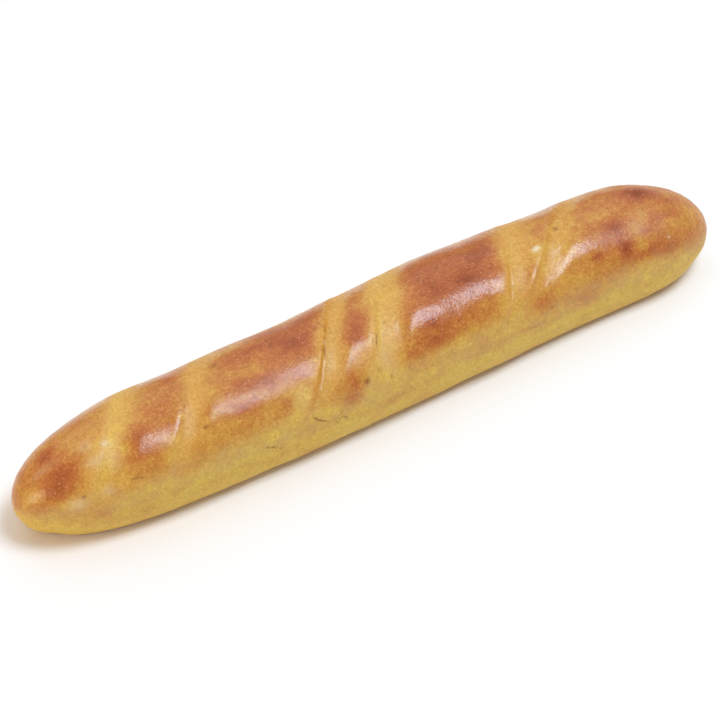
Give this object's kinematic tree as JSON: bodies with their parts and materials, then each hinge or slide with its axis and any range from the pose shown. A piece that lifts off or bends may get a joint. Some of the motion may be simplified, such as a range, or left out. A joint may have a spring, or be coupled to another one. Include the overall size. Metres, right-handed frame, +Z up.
{
  "type": "baguette",
  "caption": "Long soft baguette with a glossy egg-glazed crust, slanting cuts across its top and a flat base to lie on.",
  "frame": {"origin": "middle of the flat base that the loaf lies on", "axes": "+X along the loaf towards its blunter end, +Y across it, +Z up through the cut top"},
  "size_m": [0.34, 0.0588, 0.0434],
  "materials": {
    "crust": "satin, egg-glazed baked crust, browned on top and pale gold down the sides"
  },
  "bodies": {
    "root": {"loaf": "crust"}
  },
  "joints": []
}
